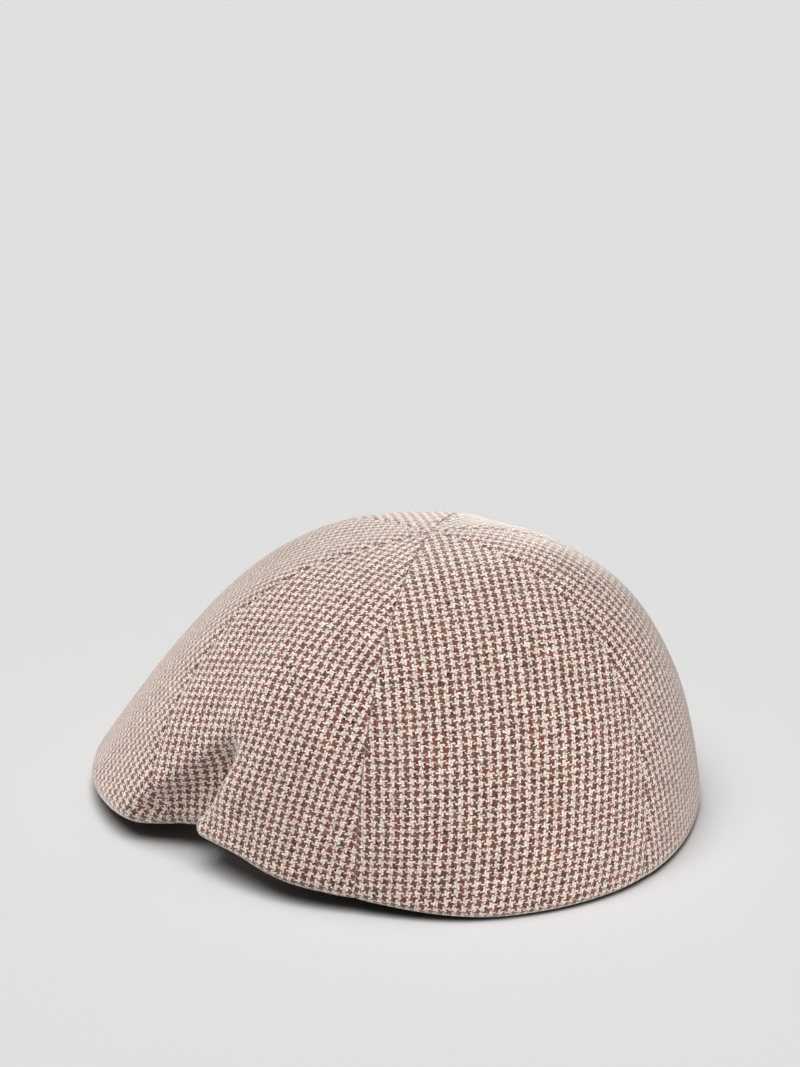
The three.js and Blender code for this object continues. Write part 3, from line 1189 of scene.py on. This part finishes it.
@dataclass
class Peak:
    """The stiff board inside the front, covered in the same cloth, in millimetres and degrees.

    clearance is the space between it and the cloth that wraps it, thinned what its finish gives
    up of its thickness, and rim the width of its rounded edge.
    """

    length: float = 51
    end_width: float = 8
    half_angle: float = 47
    thickness: float = 4
    climb: float = 20
    clearance: float = 0.7
    thinned: float = 0.2
    rim: float = 1.5
    rim_above: float = 50
    smooth_below: float = 40
    columns: int = 72
    rows: int = 24
    crown: Crown = CROWN

    def surface(self, across: Array, back: Array) -> Array:
        """The board's middle.

        Args:
            across: places from one end of the peak (0) to the other (1).
            back: places from its front edge (0) to its head opening (1).

        Returns:
            Points in metres, with an axis across and an axis back.
        """
        share = 2 * across - 1
        angle = self.half_angle * share
        edge = self.crown.value("edge", angle)
        lift = np.maximum(0, self.crown.value("lift", angle))
        pushed = self.crown.pinch.push(angle, np.ones_like(angle))
        half = self.thickness / 2
        out = self.crown.value("reach", angle) - edge - pushed - self.clearance
        up = lift + self.crown.thickness + self.clearance + half
        width = self.end_width + (self.length - self.end_width) * (1 - share**2)
        run = out[:, None] - width[:, None] * back[None, :]
        rise = up[:, None] + (self.climb * width / self.length)[:, None] * back[None, :]
        return self.crown.place(angle[:, None], run, rise)

    def build(self, finish: Finish) -> Piece:
        """Cuts the board to its crescent, rounds its edge and covers it.

        Args:
            finish: the cloth's material.

        Returns:
            The finished peak.
        """
        piece, order = new_grid(self.columns, self.rows)
        piece.name = "peak_board"
        piece.data.name = piece.name
        across = np.linspace(1, 0, self.columns + 1)
        back = np.linspace(1, 0, self.rows + 1)
        points = self.surface(across, back)
        place_vertices(piece.data, points.reshape(-1, 3)[order])
        flat = np.stack(np.broadcast_arrays(points[..., 0], -points[..., 1]), axis=-1)
        add_weave_map(piece.data, flat.reshape(-1, 2)[order])
        thicken(piece, (self.thickness - self.thinned) * MM, 0)
        rim = piece.modifiers.new("rim", "BEVEL")
        rim.width = self.rim * MM
        rim.segments = 3
        rim.limit_method = "ANGLE"
        rim.angle_limit = math.radians(self.rim_above)
        bpy.ops.object.modifier_apply(modifier=rim.name)
        dress(piece, finish, self.smooth_below)
        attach(piece, "root")
        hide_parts("peak")
        log.info("%s: %d faces", piece.name, len(piece.data.polygons))
        return piece


# ---- Studio ----


@dataclass(frozen=True)
class Softbox:
    """A large soft lamp far from the cap.

    turn is its direction round the cap, 0 at the wearer's left and 90 at the back, height its
    height above the horizon and spread its width, all in degrees. strength is what it gives a
    surface that faces it. Its place, away metres off, doesn't change its light.
    """

    name: str
    turn: float
    height: float
    strength: float
    spread: float = 45
    away: float = 2

    def build(self, lit: bpy.types.Collection) -> None:
        """Adds the lamp.

        Args:
            lit: what the lamp lights.
        """
        turn, rise = math.radians(self.turn), math.radians(self.height)
        level = math.cos(rise)
        towards = Vector((math.cos(turn) * level, math.sin(turn) * level, math.sin(rise)))
        data = bpy.data.lights.new(self.name, "SUN")
        data.energy = self.strength
        data.angle = math.radians(self.spread)
        lamp = bpy.data.objects.new(self.name, data)
        lamp.rotation_mode = "QUATERNION"
        lamp.rotation_quaternion = towards.to_track_quat("Z", "Y")
        lamp.location = towards * self.away
        lamp.light_linking.receiver_collection = lit
        bpy.context.scene.collection.objects.link(lamp)


@dataclass(frozen=True)
class Studio:
    """A pale floor lit from overhead, softboxes all round the cap, and the camera.

    azimuth and elevation are the camera's, in degrees, and other sizes are in metres. aside and
    above are how far the camera stands off its line to the cap's middle. Within painted_shadow_reach
    of the cap a shadow is painted into the floor's colour, towards painted_shadow_colour, as the
    share of open sky over it falls through painted_shadow_sky, on top of the overhead lamp's own
    shadow. A backdrop shows past the floor's edge.
    """

    azimuth: float = 106.4
    elevation: float = 21.5
    distance: float = 1.3
    aside: float = -0.0125
    above: float = 0.0754
    target: tuple[float, float, float] = (0, 0.017, 0.040)
    lens: float = 103.5
    sensor: float = 36
    floor_size: float = 12
    floor_drop: float = 0.0002
    floor_colour: Colour = (0.80, 0.80, 0.80, 1)
    # Painted shadow on the floor round the cap: its darkest colour, how far it reaches and the open-sky
    # shares it fades over.
    painted_shadow_colour: Colour = (0.06, 0.06, 0.06, 1)
    painted_shadow_reach: float = 0.040
    painted_shadow_sky: tuple[float, float] = (0.10, 0.62)
    backdrop_radius: float = 5.8
    backdrop_colour: Colour = (0.75, 0.75, 0.75, 1)
    overhead: Softbox = Softbox("overhead", 350, 78, 2.66, 52)
    softboxes: tuple[Softbox, ...] = (
        Softbox("front_box", 264, 28, 3.45),
        Softbox("back_box", 76, 12, 2.7),
        Softbox("far_box", 180, 30, 0.3),
        Softbox("near_box", 8, 27, 2.0),
    )
    room_strength: float = 0.10

    def axes(self) -> tuple[Vector, Vector, Vector]:
        """The camera's own directions.

        Returns:
            Its right, up and backward directions.
        """
        a, e = math.radians(self.azimuth), math.radians(self.elevation)
        right = Vector((math.cos(a), math.sin(a), 0))
        up = Vector((-math.sin(a) * math.sin(e), math.cos(a) * math.sin(e), math.cos(e)))
        back = Vector((math.sin(a) * math.cos(e), -math.cos(a) * math.cos(e), math.sin(e)))
        return right, up, back

    def add_camera(self) -> None:
        """Adds the camera and makes it the scene's."""
        right, up, back = self.axes()
        data = bpy.data.cameras.new("camera")
        data.lens = self.lens
        data.sensor_width = self.sensor
        camera = bpy.data.objects.new("camera", data)
        bpy.context.scene.collection.objects.link(camera)
        turned = Matrix((right, up, back)).transposed().to_4x4()
        place = Vector(self.target) + back * self.distance + right * self.aside + up * self.above
        camera.matrix_world = Matrix.Translation(place) @ turned
        bpy.context.scene.camera = camera

    def add_light(self, cap: list[Piece]) -> None:
        """Adds the lamps, what they stand round and the even light of the room.

        Args:
            cap: the cap's pieces, which the softboxes light.
        """
        pieces = bpy.data.collections.new("cap")
        for piece in cap:
            pieces.objects.link(piece)
        for softbox in self.softboxes:
            softbox.build(pieces)
        stage = bpy.data.collections.new("stage")
        stage.objects.link(self.add_floor())
        self.add_backdrop()
        self.overhead.build(stage)
        world = bpy.data.worlds.new("room")
        world.use_nodes = True
        glow = world.node_tree.nodes["Background"]
        glow.inputs[0].default_value = (1, 1, 1, 1)
        glow.inputs[1].default_value = self.room_strength
        bpy.context.scene.world = world

    def add_floor(self) -> Piece:
        """Adds the pale floor, which throws no light back at the cap and has a shadow painted into its
        colour near the cap.

        Returns:
            The floor.
        """
        bpy.ops.object.select_all(action="DESELECT")
        place = (0, 0, -self.floor_drop)
        bpy.ops.mesh.primitive_plane_add(size=self.floor_size, location=place)
        floor = bpy.context.active_object
        floor.name = "floor"
        sheet = NodeSheet("pale floor")
        # Painted shadow: the floor's colour darkens where the cap hides the open sky over it.
        sky = sheet.add("ShaderNodeAmbientOcclusion", {"Distance": self.painted_shadow_reach}, samples=8)
        share = sheet.ramp(sky.outputs["AO"], self.painted_shadow_sky)
        colour = sheet.mix(share, self.painted_shadow_colour, self.floor_colour)
        shader = sheet.add(
            "ShaderNodeBsdfPrincipled",
            {"Base Color": colour, "Roughness": 1.0, "Specular IOR Level": 0.0},
        )
        sheet.add("ShaderNodeOutputMaterial", {0: shader.outputs[0]})
        floor.data.materials.append(sheet.material)
        floor.visible_diffuse = False
        return floor

    def add_backdrop(self) -> None:
        """Adds the pale backdrop, which lights nothing."""
        bpy.ops.object.select_all(action="DESELECT")
        bpy.ops.mesh.primitive_uv_sphere_add(segments=64, ring_count=32, radius=self.backdrop_radius)
        wall = bpy.context.active_object
        wall.name = "backdrop"
        sheet = NodeSheet("pale wall")
        glow = sheet.add("ShaderNodeEmission", {"Color": self.backdrop_colour, "Strength": 1.0})
        sheet.add("ShaderNodeOutputMaterial", {0: glow.outputs[0]})
        wall.data.materials.append(sheet.material)
        for ray in ("diffuse", "glossy", "transmission", "shadow"):
            setattr(wall, f"visible_{ray}", False)

    def build(self, cap: list[Piece]) -> None:
        """Sets the whole studio up round the cap.

        Args:
            cap: the cap's pieces.
        """
        self.add_camera()
        self.add_light(cap)
        bpy.context.scene.view_settings.view_transform = "Standard"
        bpy.context.scene.view_settings.look = "None"
        log.info("studio: camera, softboxes, room light and floor")


# ---- The cap ----


def mirrored(angle: Callable[[Array], Array]) -> Callable[[Array], Array]:
    """The same seam on the right half."""
    return lambda level: -angle(level)


def past_back(angle: Callable[[Array], Array]) -> Callable[[Array], Array]:
    """The same seam on the right half, reached round the back."""
    return lambda level: 360 - angle(level)


def panels() -> list[CrownPanel]:
    """The six crown panels, going round from the front by the left.

    Returns:
        The panels, not yet built.
    """
    front, side, back = FRONT_SEAM.angle, SIDE_SEAM.angle, BACK_SEAM.angle
    at_front = Grain(warp_turn=5, weft_turn=4)
    at_back = Grain(warp_turn=2, hem_turn=9, weft_turn=1.5, weft_bow=0.87)
    return [
        CrownPanel("panel_front", mirrored(front), front, 150, ("peak", "panel_front_left")),
        CrownPanel("panel_front_left", front, side, 96, ("peak", "panel_back_left"), at_front),
        CrownPanel("panel_back_left", side, back, 100, ("panel_front_left", "panel_back"), at_back),
        CrownPanel("panel_back", back, past_back(back), 80, ("panel_back_left", "panel_back_right")),
        CrownPanel(
            "panel_back_right", mirrored(back), mirrored(side), 100,
            ("panel_back", "panel_front_right"), at_back.mirrored(),
        ),
        CrownPanel(
            "panel_front_right", mirrored(side), mirrored(front), 96,
            ("peak", "panel_back_right"), at_front.mirrored(),
        ),
    ]


def main() -> None:
    """Builds the studio and the cap; the peak logs its faces and the studio a line of its own."""
    logging.basicConfig(level=logging.INFO, format="%(name)s: %(message)s")
    tweed = StarCheck("star check tweed").build()
    cap = [panel.build(tweed) for panel in panels()]
    cap.append(Peak().build(tweed))
    Studio().build(cap)
    bpy.context.view_layer.update()


if __name__ == "__main__":
    main()
